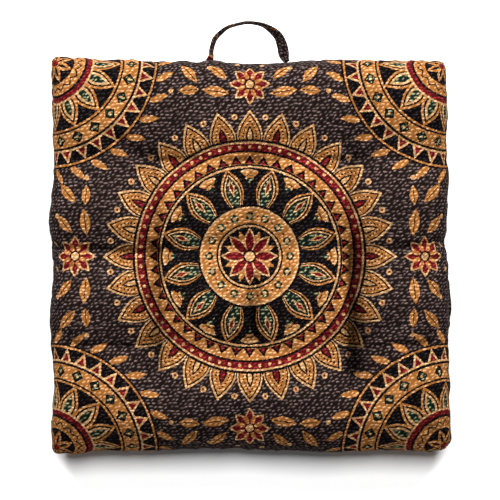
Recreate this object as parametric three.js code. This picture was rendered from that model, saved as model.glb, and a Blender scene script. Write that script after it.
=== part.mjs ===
// A square, tufted meditation cushion with a carrying strap, lying on its back.
// Millimetres, +Z up. The cushion's face looks up, and the strap's loop lies past its far edge, along +Y.
// Two solids: the filled cushion, which has nine tufts in three columns and three rows, and the strap.

import * as THREE from "three";

// Driving sizes of the cushion
const WIDTH = 658;
const LENGTH = 645;
const THICKNESS = 127;
const SEAM_HEIGHT = 60;
const FLOOR_SQUASH = 9;

// The side wall: how far in from the seam the face begins, and how boxy the curve up to it is
const WALL_REACH = 46;
const WALL_POWER = 2.5;
const WALL_STEPS = 5;

// The tufts: where their columns and rows cross, and how deep each face is drawn in there
const TUFT_COLUMNS = [-163, 5, 174];
const TUFT_ROWS = [-151, 6, 158];
const FACE_DIMPLE = 34;
const BACK_DIMPLE = 26;
const PUFF_REACH = 84;
const OUTER_STEPS = 6;
const INNER_STEPS = 9;
const STEP_EASE = 0.55;

// Corners: radius of the seam there, how much rounder the loop grows towards the face, and how far the face
// droops there, of which the back does a share
const CORNERS = [
  { sideX: -1, sideY: 1, radius: 8 },
  { sideX: 1, sideY: 1, radius: 16 },
  { sideX: 1, sideY: -1, radius: 20 },
  { sideX: -1, sideY: -1, radius: 13 },
];
const CORNER_GROWTH = 0.5;
const CORNER_FADE = 90;
const CORNER_DROOP = 10;
const BACK_DROOP_SHARE = 0.5;
const CORNER_REACH = 90;

// How far each edge stands out past its straight line, at places along it
const FAR_EDGE = [
  { along: -305, out: 6.1 },
  { along: -290, out: 5.0 },
  { along: -268, out: 0.8 },
  { along: -220, out: -0.4 },
  { along: -189, out: 2.0 },
  { along: -160, out: -2.3 },
  { along: -110, out: -2.0 },
  { along: -86, out: -3.8 },
  { along: -58, out: -1.4 },
  { along: -32, out: -5.0 },
  { along: 0, out: -7.0 },
  { along: 34, out: -6.8 },
  { along: 66, out: -1.4 },
  { along: 100, out: -0.8 },
  { along: 150, out: 2.2 },
  { along: 178, out: -0.9 },
  { along: 205, out: 0.0 },
  { along: 305, out: 0.8 },
];
const NEAR_EDGE = [
  { along: -300, out: 7.2 },
  { along: -249, out: 0.6 },
  { along: -184, out: 1.8 },
  { along: -122, out: -1.0 },
  { along: -40, out: -2.3 },
  { along: 83, out: -0.7 },
  { along: 146, out: 1.8 },
  { along: 211, out: -1.0 },
  { along: 294, out: -1.5 },
];
const LEFT_EDGE = [
  { along: -313, out: 0.2 },
  { along: -272, out: -0.8 },
  { along: -214, out: -3.3 },
  { along: -156, out: -0.8 },
  { along: -90, out: 1.7 },
  { along: -26, out: -1.6 },
  { along: 45, out: 0.6 },
  { along: 128, out: -1.7 },
  { along: 158, out: -5.0 },
  { along: 232, out: -2.5 },
  { along: 307, out: -0.8 },
];
const RIGHT_EDGE = [
  { along: -288, out: 1.7 },
  { along: -239, out: 0.0 },
  { along: -156, out: -2.5 },
  { along: -74, out: 0.8 },
  { along: -20, out: -2.8 },
  { along: 22, out: -7.4 },
  { along: 58, out: -2.5 },
  { along: 140, out: -2.5 },
  { along: 174, out: -5.8 },
  { along: 232, out: -5.8 },
  { along: 307, out: -4.6 },
];
const EDGE_FADE = 110;

// Folds in the face, as soft troughs between two points
const FOLDS = [
  { fromX: 174, fromY: 6, toX: 172, toY: -180, depth: 7, spread: 11 },
  { fromX: 174, fromY: 158, toX: 174, toY: 6, depth: 4.5, spread: 11 },
  { fromX: -163, fromY: 6, toX: -163, toY: -165, depth: 5, spread: 11 },
  { fromX: -163, fromY: 158, toX: -163, toY: 6, depth: 3, spread: 11 },
  { fromX: 5, fromY: 140, toX: 5, toY: 50, depth: 3.5, spread: 10 },
  { fromX: 5, fromY: -45, toX: 5, toY: -125, depth: 3.5, spread: 10 },
  { fromX: -163, fromY: 158, toX: 174, toY: 158, depth: 2.5, spread: 11 },
  { fromX: -318, fromY: 10, toX: -163, toY: 6, depth: 4.5, spread: 10 },
  { fromX: 190, fromY: 10, toX: 316, toY: 16, depth: 4.5, spread: 10 },
  { fromX: -298, fromY: -146, toX: -199, toY: -150, depth: 3, spread: 10 },
  { fromX: 214, fromY: -150, toX: 297, toY: -146, depth: 3, spread: 10 },
];

// A slow unevenness of the filling, in the puffs' height
const LUMP_HEIGHT = 2.2;
const LUMP_WAVES = [
  { acrossX: 1 / 210, acrossY: 1 / 330, start: 0.2 },
  { acrossX: -1 / 280, acrossY: 1 / 190, start: 0.55 },
];

// The strap: a flat band whose ends are caught in the side seam, where they turn flat and gather a little.
// Rows run from the left end to the right end: how far past the far edge's straight line, in which twist
// about its own run, in degrees (0 stands edge-on to the view from above), and which share of the full width.
const STRAP_WIDTH = 25;
const STRAP_THICKNESS = 4.2;
const STRAP_GAP = 0.6;
const STRAP_STEPS = 54;
const STRAP_BEVEL = 1.2;
const STRAP_ROUTE = [
  { x: -70.5, atSeam: true, twist: 58, width: 0.76 },
  { x: -69.2, out: 2.5, twist: 38, width: 0.86 },
  { x: -66.6, out: 8, twist: 14, width: 1 },
  { x: -65.2, out: 17, twist: 8, width: 1 },
  { x: -57.9, out: 36.4, twist: 8, width: 1 },
  { x: -40.9, out: 53, twist: 4, width: 1 },
  { x: -3, out: 62.6, twist: 1, width: 1 },
  { x: 27.3, out: 55.4, twist: 13, width: 1 },
  { x: 45.8, out: 39.7, twist: 26, width: 1 },
  { x: 52.4, out: 23, twist: 31, width: 1 },
  { x: 55.4, out: 9, twist: 34, width: 1 },
  { x: 58.4, out: 3, twist: 44, width: 0.88 },
  { x: 59.8, atSeam: true, twist: 60, width: 0.76 },
];

// The cloths' middle tones, and their matt finish
const PRINT_COLOUR = 0x8a6238;
const STRAP_COLOUR = 0x2a2126;
const CLOTH_ROUGHNESS = 0.9;

const HALF_WIDTH = WIDTH / 2;
const HALF_LENGTH = LENGTH / 2;
const FACE_RISE = THICKNESS - SEAM_HEIGHT;
const BACK_RISE = SEAM_HEIGHT + FLOOR_SQUASH;
const BACK = -1;
const FACE = 1;

// The value between two rows of an edge table, eased so that the edge has no corners
function edgeOut(table, along) {
  const last = table.length - 1;
  if (along <= table[0].along) return table[0].out;
  if (along >= table[last].along) return table[last].out;
  const next = table.findIndex((row) => row.along > along);
  const before = table[next - 1];
  const after = table[next];
  const share = (along - before.along) / (after.along - before.along);
  const eased = (1 - Math.cos(Math.PI * share)) / 2;
  return before.out + (after.out - before.out) * eased;
}

// How far in from the nearest straight edge a point of the square lies
function inset(x, y) {
  return Math.min(HALF_WIDTH - Math.abs(x), HALF_LENGTH - Math.abs(y));
}

// A point of the square, moved so that the corners are round and the edges stand out as in the tables
function onPlan(x, y) {
  const corner = CORNERS.find((row) => row.sideX * x >= 0 && row.sideY * y >= 0);
  const depth = inset(x, y);
  const radius = corner.radius + CORNER_GROWTH * Math.min(depth, WALL_REACH);
  const centreX = HALF_WIDTH - depth - radius;
  const centreY = HALF_LENGTH - depth - radius;
  let acrossX = Math.abs(x) - centreX;
  let acrossY = Math.abs(y) - centreY;
  if (acrossX > 0 && acrossY > 0) {
    const rounding = 1 - Math.min(1, Math.max(0, depth - WALL_REACH) / CORNER_FADE);
    const pull = Math.max(acrossX, acrossY) / Math.hypot(acrossX, acrossY);
    acrossX *= 1 + (pull - 1) * rounding;
    acrossY *= 1 + (pull - 1) * rounding;
  }
  const fade = (distance) => Math.exp(-distance / EDGE_FADE);
  const right = edgeOut(RIGHT_EDGE, y) * fade(HALF_WIDTH - x);
  const left = edgeOut(LEFT_EDGE, y) * fade(HALF_WIDTH + x);
  const far = edgeOut(FAR_EDGE, x) * fade(HALF_LENGTH - y);
  const near = edgeOut(NEAR_EDGE, x) * fade(HALF_LENGTH + y);
  return {
    x: Math.sign(x) * (centreX + acrossX) + right - left,
    y: Math.sign(y) * (centreY + acrossY) + far - near,
  };
}

// From 0 at a tuft line to 1 half way to the next one
function awayFromTuft(place, lines) {
  const distance = Math.min(...lines.map((line) => Math.abs(place - line)));
  return Math.sin((Math.PI / 2) * Math.min(1, distance / PUFF_REACH));
}

// 1 at a tuft, 0 on the crown of a puff
function drawnIn(x, y) {
  const acrossX = awayFromTuft(x, TUFT_COLUMNS);
  const acrossY = awayFromTuft(y, TUFT_ROWS);
  return 1 - Math.hypot(acrossX, acrossY) / Math.SQRT2;
}

// How deep the folds cut at a point of the face
function foldDepth(x, y) {
  let deepest = 0;
  for (const fold of FOLDS) {
    const runX = fold.toX - fold.fromX;
    const runY = fold.toY - fold.fromY;
    const share = ((x - fold.fromX) * runX + (y - fold.fromY) * runY) / (runX ** 2 + runY ** 2);
    const nearest = Math.min(1, Math.max(0, share));
    const distance = Math.hypot(x - fold.fromX - nearest * runX, y - fold.fromY - nearest * runY);
    deepest = Math.max(deepest, fold.depth * Math.exp(-((distance / fold.spread) ** 2)));
  }
  return deepest;
}

// The filling's slow unevenness
function lump(x, y) {
  const total = LUMP_WAVES.reduce((sum, wave) => {
    return sum + Math.sin(2 * Math.PI * (x * wave.acrossX + y * wave.acrossY + wave.start));
  }, 0);
  return (LUMP_HEIGHT * total) / LUMP_WAVES.length;
}

// The wall's share of the full rise at a distance in from the seam
function wallRise(depth) {
  if (depth >= WALL_REACH) return 1;
  return (1 - (1 - depth / WALL_REACH) ** WALL_POWER) ** (1 / WALL_POWER);
}

// How far in from the seam the wall has come at a share of its full rise
function wallInset(share) {
  return WALL_REACH * (1 - (1 - Math.abs(share) ** WALL_POWER) ** (1 / WALL_POWER));
}

// The crown of the face, or of the back, over a point of the square, counted from the seam
function crownRise(x, y, side) {
  const corner = Math.hypot(HALF_WIDTH - Math.abs(x), HALF_LENGTH - Math.abs(y));
  const droop = CORNER_DROOP * Math.exp(-((corner / CORNER_REACH) ** 2));
  if (side === BACK) return BACK_RISE - BACK_DIMPLE * drawnIn(x, y) - BACK_DROOP_SHARE * droop;
  return FACE_RISE - LUMP_HEIGHT - FACE_DIMPLE * drawnIn(x, y) - foldDepth(x, y) + lump(x, y) - droop;
}

// A point of the cushion's surface; the floor presses the back flat
function onCushion(x, y, side) {
  const plan = onPlan(x, y);
  const rise = wallRise(inset(x, y)) * crownRise(x, y, side);
  return new THREE.Vector3(plan.x, plan.y, Math.max(0, SEAM_HEIGHT + side * rise));
}

// Places of the grid lines across the square, closer together at the seam, the wall and the tuft lines
function gridLines(halfSize, tuftLines) {
  const lines = [];
  for (let step = 0; step < WALL_STEPS; step += 1) {
    lines.push(-halfSize + wallInset(Math.sin((Math.PI / 2) * (step / WALL_STEPS))));
  }
  const stops = [-halfSize + WALL_REACH, ...tuftLines, halfSize - WALL_REACH];
  for (let span = 0; span < stops.length - 1; span += 1) {
    const outer = span === 0 || span === stops.length - 2;
    const steps = outer ? OUTER_STEPS : INNER_STEPS;
    for (let step = 0; step < steps; step += 1) {
      const share = step / steps;
      const eased = share - (STEP_EASE * Math.sin(2 * Math.PI * share)) / (2 * Math.PI);
      lines.push(stops[span] + (stops[span + 1] - stops[span]) * eased);
    }
  }
  for (let step = WALL_STEPS; step >= 0; step -= 1) {
    lines.push(halfSize - wallInset(Math.sin((Math.PI / 2) * (step / WALL_STEPS))));
  }
  return lines;
}

// A closed mesh's geometry from its points and its triangles
function closedGeometry(points, triangles) {
  const geometry = new THREE.BufferGeometry();
  geometry.setAttribute("position", new THREE.Float32BufferAttribute(points.flatMap((p) => p.toArray()), 3));
  geometry.setIndex(triangles.flat());
  geometry.computeVertexNormals();
  return geometry;
}

// The cushion: two sheets of one grid, the face and the back, that share the seam's loop of points
function cushionGeometry() {
  const columns = gridLines(HALF_WIDTH, TUFT_COLUMNS);
  const rows = gridLines(HALF_LENGTH, TUFT_ROWS);
  const lastColumn = columns.length - 1;
  const lastRow = rows.length - 1;
  const points = [];
  const triangles = [];
  const seam = new Map();
  for (const side of [FACE, BACK]) {
    const sheet = rows.map((y, row) => columns.map((x, column) => {
      const onSeam = row === 0 || column === 0 || row === lastRow || column === lastColumn;
      const key = `${column} ${row}`;
      if (onSeam && seam.has(key)) return seam.get(key);
      points.push(onCushion(x, y, side));
      if (onSeam) seam.set(key, points.length - 1);
      return points.length - 1;
    }));
    for (let row = 0; row < lastRow; row += 1) {
      for (let column = 0; column < lastColumn; column += 1) {
        const a = sheet[row][column];
        const b = sheet[row][column + 1];
        const c = sheet[row + 1][column + 1];
        const d = sheet[row + 1][column];
        // The diagonals run towards the middle, so that no triangle at a corner lies in the seam's plane
        const towardsMiddle = (column < lastColumn / 2) === (row < lastRow / 2);
        const pair = towardsMiddle ? [[a, b, c], [a, c, d]] : [[a, b, d], [b, c, d]];
        triangles.push(...(side === FACE ? pair : pair.map((corners) => corners.reverse())));
      }
    }
  }
  return closedGeometry(points, triangles);
}

// Where the far wall stands at a place along it and a height above the floor, between two grid lines
function farWall(x, height) {
  const columns = gridLines(HALF_WIDTH, TUFT_COLUMNS);
  const next = columns.findIndex((column) => column > x);
  const share = (x - columns[next - 1]) / (columns[next] - columns[next - 1]);
  const out = THREE.MathUtils.lerp(
    edgeOut(FAR_EDGE, columns[next - 1]),
    edgeOut(FAR_EDGE, columns[next]),
    share,
  );
  const side = height >= SEAM_HEIGHT ? FACE : BACK;
  const rise = (height - SEAM_HEIGHT) / crownRise(x, HALF_LENGTH - WALL_REACH, side);
  return HALF_LENGTH + out - wallInset(rise);
}

// The strap's middle line, in the seam's plane
function strapRoute() {
  const points = STRAP_ROUTE.map((row) => {
    const y = row.atSeam ? farWall(row.x, SEAM_HEIGHT) + STRAP_GAP : HALF_LENGTH + row.out;
    return new THREE.Vector3(row.x, y, SEAM_HEIGHT);
  });
  return new THREE.CatmullRomCurve3(points, false, "centripetal");
}

// A column of the strap's table at a share of its rows
function strapColumn(column, share) {
  const place = share * (STRAP_ROUTE.length - 1);
  const before = Math.min(STRAP_ROUTE.length - 2, Math.floor(place));
  return THREE.MathUtils.lerp(STRAP_ROUTE[before][column], STRAP_ROUTE[before + 1][column], place - before);
}

// The strap's section at a share of its width: a flat band with its four long edges bevelled
function strapSection(widthShare) {
  const halfWidth = (STRAP_WIDTH * widthShare) / 2;
  const halfThickness = STRAP_THICKNESS / 2;
  const flatWidth = halfWidth - STRAP_BEVEL;
  const edgeThickness = halfThickness - STRAP_BEVEL;
  return [
    { out: halfThickness, across: -flatWidth },
    { out: halfThickness, across: flatWidth },
    { out: edgeThickness, across: halfWidth },
    { out: -edgeThickness, across: halfWidth },
    { out: -halfThickness, across: flatWidth },
    { out: -halfThickness, across: -flatWidth },
    { out: -edgeThickness, across: -halfWidth },
    { out: edgeThickness, across: -halfWidth },
  ];
}

// One ring of the strap's surface, square to its run and clear of the wall; the end rings lie along the wall
function strapRing(route, share) {
  const up = new THREE.Vector3(0, 0, 1);
  const atEnd = share === 0 || share === 1;
  const middle = route.getPoint(share);
  const outward = up.clone().cross(route.getTangent(share)).normalize();
  const twist = THREE.MathUtils.degToRad(strapColumn("twist", share));
  const across = up.clone().multiplyScalar(Math.cos(twist)).addScaledVector(outward, Math.sin(twist));
  const normal = outward.clone().multiplyScalar(Math.cos(twist)).addScaledVector(up, -Math.sin(twist));
  return strapSection(strapColumn("width", share)).map((corner) => {
    const point = middle.clone().addScaledVector(normal, corner.out).addScaledVector(across, corner.across);
    const nearestY = farWall(point.x, point.z) + STRAP_GAP;
    point.y = atEnd ? nearestY : Math.max(point.y, nearestY);
    return point;
  });
}

// The strap: rings joined along its run, with both ends closed
function strapGeometry() {
  const route = strapRoute();
  const rings = Array.from({ length: STRAP_STEPS + 1 }, (_, step) => strapRing(route, step / STRAP_STEPS));
  const sides = rings[0].length;
  const triangles = [];
  for (let step = 0; step < STRAP_STEPS; step += 1) {
    for (let side = 0; side < sides; side += 1) {
      const a = step * sides + side;
      const b = step * sides + ((side + 1) % sides);
      triangles.push([a, b, b + sides], [a, b + sides, a + sides]);
    }
  }
  const lastRing = STRAP_STEPS * sides;
  for (let side = 1; side < sides - 1; side += 1) {
    triangles.push([0, side + 1, side]);
    triangles.push([lastRing, lastRing + side, lastRing + side + 1]);
  }
  return closedGeometry(rings.flat(), triangles);
}

// A piece with its own material
function namedMesh(name, geometry, colour) {
  const finish = { color: colour, roughness: CLOTH_ROUGHNESS, metalness: 0 };
  const material = new THREE.MeshStandardMaterial(finish);
  const mesh = new THREE.Mesh(geometry, material);
  mesh.name = name;
  return mesh;
}

// The origin is under the middle of the whole part's box, on the floor
function meditationCushion() {
  const part = new THREE.Group();
  part.add(namedMesh("cushion", cushionGeometry(), PRINT_COLOUR));
  part.add(namedMesh("handle_strap", strapGeometry(), STRAP_COLOUR));
  const middle = new THREE.Box3().setFromObject(part).getCenter(new THREE.Vector3());
  part.position.set(-middle.x, -middle.y, 0);
  return part;
}

export default meditationCushion();
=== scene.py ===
"""The looks of a square, tufted meditation cushion with a carrying strap, lying on its back.

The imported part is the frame. The cushion's outline is read from the part's own seam, so the cover made here
lies where the part's solid is. The cover is one closed cloth, swollen by a simulation of its filling, with
its tufts, creases and seam. The print and the weave are worked out by the materials from each point's place
on the flat cloth. Lengths in the tables are millimetres, and everything that Blender gets is in metres.
"""

import math

import bpy
import numpy as np
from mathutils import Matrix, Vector


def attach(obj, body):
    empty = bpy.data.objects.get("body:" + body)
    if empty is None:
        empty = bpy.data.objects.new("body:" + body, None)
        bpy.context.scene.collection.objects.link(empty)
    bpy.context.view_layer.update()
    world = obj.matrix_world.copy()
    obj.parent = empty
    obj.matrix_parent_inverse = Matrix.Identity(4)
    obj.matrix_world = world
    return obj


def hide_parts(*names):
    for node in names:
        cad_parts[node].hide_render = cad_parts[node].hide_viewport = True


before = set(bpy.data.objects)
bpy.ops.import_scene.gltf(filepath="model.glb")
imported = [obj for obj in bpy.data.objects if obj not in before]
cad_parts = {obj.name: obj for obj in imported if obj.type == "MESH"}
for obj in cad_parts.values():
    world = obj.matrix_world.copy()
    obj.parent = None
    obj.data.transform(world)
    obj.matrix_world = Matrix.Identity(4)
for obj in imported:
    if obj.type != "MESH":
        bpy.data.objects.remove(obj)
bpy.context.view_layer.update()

bl_info = {
    "name": "Meditation cushion",
    "version": (1, 0, 0),
    "blender": (4, 5, 0),
    "location": "View3D > Sidebar > Cushion",
    "description": "Makes a square, tufted meditation cushion of printed cloth with a carrying strap",
    "category": "Add Mesh",
}

MM = 0.001

# The cushion's plan, counted from its middle, which lies nearer than the origin because the strap's loop
# counts in the part's box. The floor flattens the back by the squash, and the face stays below the full
# thickness by the sink.
MIDDLE = np.array([0.0, -28.9]) * MM
HALF_WIDTH = 329 * MM
HALF_LENGTH = 322.5 * MM
THICKNESS = 127 * MM
SEAM_HEIGHT = 60 * MM
FLOOR_SQUASH = 9 * MM
FACE_SINK = 2 * MM

# The two panels: the side on which each one lies
FACE = 1
BACK = -1

# The wall: how far in from the seam the face begins, and how boxy the curve up to it is
WALL_REACH = 46 * MM
WALL_POWER = 2.5
WALL_SAMPLES = 400

# The tufts' columns and rows, how far from them the puffs' crowns lie, how round the tufts are, and how much
# closer together the mesh lines are at them
TUFT_COLUMNS = np.array([-163, 5, 174]) * MM
TUFT_ROWS = np.array([-151, 6, 158]) * MM
TUFTS = [(column, row) for column in TUFT_COLUMNS for row in TUFT_ROWS]
PUFF_REACH = 84 * MM
TUFT_SOFTNESS = 0.3
TUFT_EASE = 0.35

# The corners' radius in millimetres at the seam
CORNERS = (
    {"side_x": -1, "side_y": 1, "radius": 8},
    {"side_x": 1, "side_y": 1, "radius": 16},
    {"side_x": 1, "side_y": -1, "radius": 20},
    {"side_x": -1, "side_y": -1, "radius": 13},
)

# How fast that radius grows up the wall, and how far in over the face the corners stay round
CORNER_GROWTH = 0.5
CORNER_FADE = 90 * MM

# How far the face droops at its corners and along its near edge, how far in the droop reaches, and the back's
# share of the corners' droop
CORNER_DROOP = 10 * MM
CORNER_REACH = 90 * MM
NEAR_DROOP = 24 * MM
NEAR_REACH = 40 * MM
BACK_DROOP_SHARE = 0.5

# The unevenness of the edges: how far in over the face it fades, how near to the seam's height, how far along
# an edge and how far from its straight line the seam's points are read, and their smoothing in millimetres
EDGE_FADE = 110 * MM
EDGE_LEVEL = 0.01 * MM
EDGE_END = 300 * MM
EDGE_BAND = 12 * MM
EDGE_SMOOTHING = 9

# The simulation: its count of steps, how firmly the cloth is held at the seam and at the least, how far the
# holds at the seam and at the tufts reach, and how near to the floor the cloth is held by it
SIMULATION_STEPS = 20
SEAM_HOLD = 0.3
LEAST_HOLD = 0.02
SEAM_HOLD_REACH = 6 * MM
TUFT_HOLD_REACH = 9 * MM
FLOOR_HOLD = 0.5 * MM
CLOTH_SETTINGS = {
    "quality": 6,
    "mass": 0.3,
    "tension_stiffness": 25,
    "compression_stiffness": 25,
    "shear_stiffness": 8,
    "bending_stiffness": 0.4,
    "pin_stiffness": 1,
    "use_pressure": True,
}

# The share of the simulated moves that the seam takes, how steeply the share rises up the wall, how much less
# of the sideways moves the face takes, and how far round a corner of the seam all moves are less
SEAM_SWELL = 0.08
SWELL_POWER = 1.5
SIDEWAYS_LOSS = 0.65
CORNER_HOLD = 30 * MM

# Random bumps of the cloth: their height, the pitch from one to the next, the seed of their places, and the
# count of waves that they are made of, whose lengths differ by the spread
SLOW_BUMPS = {"height": 1.2, "pitch": 75, "seed": 41, "waves": 7}
FINE_BUMPS = {"height": 0.3, "pitch": 12, "seed": 51, "waves": 11}
SEAM_GATHERS = {"height": 0.5, "pitch": 9, "seed": 31, "waves": 9}
LONG_GATHERS = {"height": 0.7, "pitch": 24, "seed": 32, "waves": 7}
CREASE_WANDER = {"height": 0.9, "pitch": 34, "seed": 11, "waves": 7}
STRAP_BUMPS = {"height": 0.25, "pitch": 16, "seed": 71, "waves": 7}
BUMP_SPREAD = (0.7, 1.5)

# The seam's groove, how far from the seam its two kinds of gathers reach, and where the first kind begins
SEAM_GROOVE = 2.4 * MM
GROOVE_REACH = 3.2 * MM
GATHER_REACH = 16 * MM
LONG_GATHER_REACH = 55 * MM
GATHER_START = 4 * MM

# The puckers round the tufts: their height, where they begin and end, how far out they bend, by how much at
# most, how many there are at a tuft from the least to below the last, and their seed
PUCKER_HEIGHT = 1.5 * MM
PUCKER_START = 9 * MM
PUCKER_END = 34 * MM
PUCKER_BEND = 40 * MM
PUCKER_LEAN = 0.6
PUCKER_COUNTS = (5, 8)
PUCKER_SEED = 61

# The pit that the thread pulls at each tuft, and how far it reaches
PIT_DEPTH = 3 * MM
PIT_REACH = 16 * MM

# The creases' sides: how pointed their section is, the pitch and the share of the change in their depth along
# the run, and its seed
CREASE_POWER = 1.35
CREASE_PITCH = 38 * MM
CREASE_CHANGE = 0.1
CREASE_SEED = 20

# Painted shade in the creases: the depth at which it is darkest, and the share of colour it takes away there
FULLY_SHADED_DEPTH = 34 * MM
PAINTED_FOLD_SHADE = 0.75

# Creases in the face, which run from a start to an end and wander a little: how deep each is, and how far its
# left and its right side spread, seen along its run
CREASES = (
    {"start": (166, 14), "end": (164, -184), "depth": 42, "left": 25, "right": 5},
    {"start": (172, 158), "end": (164, 10), "depth": 12, "left": 14, "right": 6},
    {"start": (-152, 8), "end": (-152, -178), "depth": 21, "left": 5, "right": 18},
    {"start": (-161, 158), "end": (-152, 8), "depth": 9, "left": 5, "right": 12},
    {"start": (5, 138), "end": (5, 46), "depth": 9, "left": 4, "right": 4},
    {"start": (6, -38), "end": (5, -132), "depth": 17, "left": 10, "right": 9},
    {"start": (-163, 158), "end": (5, 157), "depth": 4.5, "left": 3.5, "right": 4},
    {"start": (5, 157), "end": (174, 158), "depth": 4.5, "left": 3.5, "right": 4},
    {"start": (-325, 14), "end": (-163, 6), "depth": 8, "left": 6, "right": 7},
    {"start": (174, 8), "end": (325, 20), "depth": 9, "left": 7, "right": 6},
    {"start": (-302, -144), "end": (-190, -149), "depth": 7, "left": 6, "right": 6},
    {"start": (200, -149), "end": (300, -143), "depth": 7, "left": 6, "right": 6},
    {"start": (-160, 321), "end": (-162, 226), "depth": 5, "left": 6, "right": 5},
    {"start": (-190, 300), "end": (-176, 205), "depth": 3, "left": 5, "right": 5},
    {"start": (179, 321), "end": (175, 226), "depth": 5, "left": 5, "right": 6},
    {"start": (206, 302), "end": (190, 205), "depth": 3, "left": 5, "right": 5},
    {"start": (326, -6), "end": (250, 0), "depth": 3, "left": 4, "right": 4},
    {"start": (-326, -26), "end": (-250, -10), "depth": 3.5, "left": 4, "right": 4},
    {"start": (322, -66), "end": (238, -28), "depth": 3.5, "left": 7, "right": 5},
    {"start": (320, -124), "end": (262, -130), "depth": 2.2, "left": 4, "right": 4},
    {"start": (320, -165), "end": (256, -160), "depth": 2.4, "left": 4, "right": 4},
    {"start": (320, -186), "end": (270, -176), "depth": 2.2, "left": 4, "right": 4},
    {"start": (318, -208), "end": (276, -196), "depth": 2, "left": 4, "right": 4},
    {"start": (-320, -126), "end": (-268, -130), "depth": 2.2, "left": 4, "right": 4},
    {"start": (-320, -166), "end": (-262, -160), "depth": 2.2, "left": 4, "right": 4},
)

# The strap's middle line at the seam's height: how far out it is past the far edge's straight line, where
# None is at the seam itself, its twist about its own run in degrees, and the share of its full width
STRAP_ROUTE = (
    {"x": -68.4, "out": None, "twist": 34, "width": 0.8},
    {"x": -66.2, "out": 3, "twist": 22, "width": 0.92},
    {"x": -64.8, "out": 9, "twist": 14, "width": 1},
    {"x": -64.6, "out": 18, "twist": 13, "width": 1},
    {"x": -57.9, "out": 36.4, "twist": 12, "width": 1},
    {"x": -40.9, "out": 53, "twist": 6, "width": 1},
    {"x": -3, "out": 62.6, "twist": 1, "width": 1},
    {"x": 27.3, "out": 55.4, "twist": 13, "width": 1},
    {"x": 45.8, "out": 39.7, "twist": 31, "width": 1},
    {"x": 52, "out": 27, "twist": 39, "width": 1},
    {"x": 54.8, "out": 12, "twist": 42, "width": 0.98},
    {"x": 57.6, "out": 4.5, "twist": 34, "width": 0.87},
    {"x": 61, "out": None, "twist": 18, "width": 0.65},
)

# The strap's mesh: the points of its curve for each row of the route, its count of steps and of points round
# it, how round its edges are, and how many steps at each end stand out of the wall by how much more each
STRAP_CURVE_STEPS = 40
STRAP_STEPS = 220
STRAP_AROUND = 28
STRAP_ROUNDNESS = 0.55
STRAP_END_STEPS = 6
STRAP_END_EASE = 0.35 * MM

# The gathers where the strap's ends are sewn in: their height, how far along the strap they reach, and how
# finely they lie across it
STRAP_GATHER = 0.5 * MM
STRAP_GATHER_REACH = 9 * MM
STRAP_GATHER_PITCH = 1.9 * MM

# The smallest length that is divided by
TINY = 1e-12

# The dyes of the print, as numbers that the material's maths can carry
CHARCOAL = 0
OCHRE = 1
CREAM = 2
RED = 3
GREEN = 4
INK = 5
DYES = ("charcoal", "ochre", "cream", "red", "green", "ink")


def length_setting(name, description, default, least=0.0):
    """A length that a user can change"""
    return bpy.props.FloatProperty(
        name=name,
        description=description,
        default=default,
        min=least,
        unit="LENGTH",
    )


def share_setting(name, description, default):
    """A share of the whole that a user can change"""
    return bpy.props.FloatProperty(
        name=name,
        description=description,
        default=default,
        min=0,
        max=1,
        subtype="FACTOR",
    )


def colour_setting(name, description, default):
    """A colour that a user can change"""
    return bpy.props.FloatVectorProperty(
        name=name,
        description=description,
        default=default,
        min=0,
        max=1,
        subtype="COLOR",
    )


def ground_of(dye, colour):
    """The colour of a dye in the hollows of the weave"""
    return colour_setting(f"{dye} ground", f"{dye} dye in the hollows of the weave", colour)


def fleck_of(dye, colour):
    """The colour of a dye on the raised yarns"""
    return colour_setting(f"{dye} fleck", f"{dye} dye on the raised yarns", colour)


class CushionSizes(bpy.types.PropertyGroup):
    """How the cushion is filled, tufted and meshed"""

    face_dimple: length_setting("Face tuft depth", "How deep the tufts draw the face in", 27 * MM)
    back_dimple: length_setting("Back tuft depth", "How deep the tufts draw the back in", 26 * MM)
    pressure: bpy.props.FloatProperty(
        name="Filling pressure",
        description="How hard the filling presses the cloth out in the simulation",
        default=4,
        min=0,
    )
    spare_cloth: share_setting(
        "Spare cloth",
        "How much larger the cloth is than the shape that it covers, which wrinkles it",
        0.03,
    )
    swell_limit: length_setting(
        "Swell limit",
        "The furthest that the simulation may move a point",
        12 * MM,
        MM,
    )
    pitch: length_setting(
        "Mesh pitch",
        "The cover's mean distance between mesh lines",
        3.4 * MM,
        2 * MM,
    )
    simulation_pitch: length_setting(
        "Simulation pitch",
        "The simulated cloth's distance between mesh lines",
        8 * MM,
        4 * MM,
    )


class DyeColours(bpy.types.PropertyGroup):
    """The print's dyes: the ground colour of each, and the colour of its raised yarn flecks"""

    charcoal_ground: ground_of("Charcoal", (0.0082, 0.0048, 0.0041))
    charcoal_fleck: fleck_of("Charcoal", (0.130, 0.089, 0.082))
    ochre_ground: ground_of("Ochre", (0.250, 0.093, 0.020))
    ochre_fleck: fleck_of("Ochre", (0.468, 0.287, 0.152))
    cream_ground: ground_of("Cream", (0.330, 0.172, 0.070))
    cream_fleck: fleck_of("Cream", (0.520, 0.350, 0.190))
    red_ground: ground_of("Red", (0.062, 0.004, 0.005))
    red_fleck: fleck_of("Red", (0.230, 0.019, 0.018))
    green_ground: ground_of("Green", (0.003, 0.008, 0.0055))
    green_fleck: fleck_of("Green", (0.255, 0.275, 0.150))
    ink_ground: ground_of("Black", (0.0018, 0.0012, 0.0013))
    ink_fleck: fleck_of("Black", (0.022, 0.015, 0.016))


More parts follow.
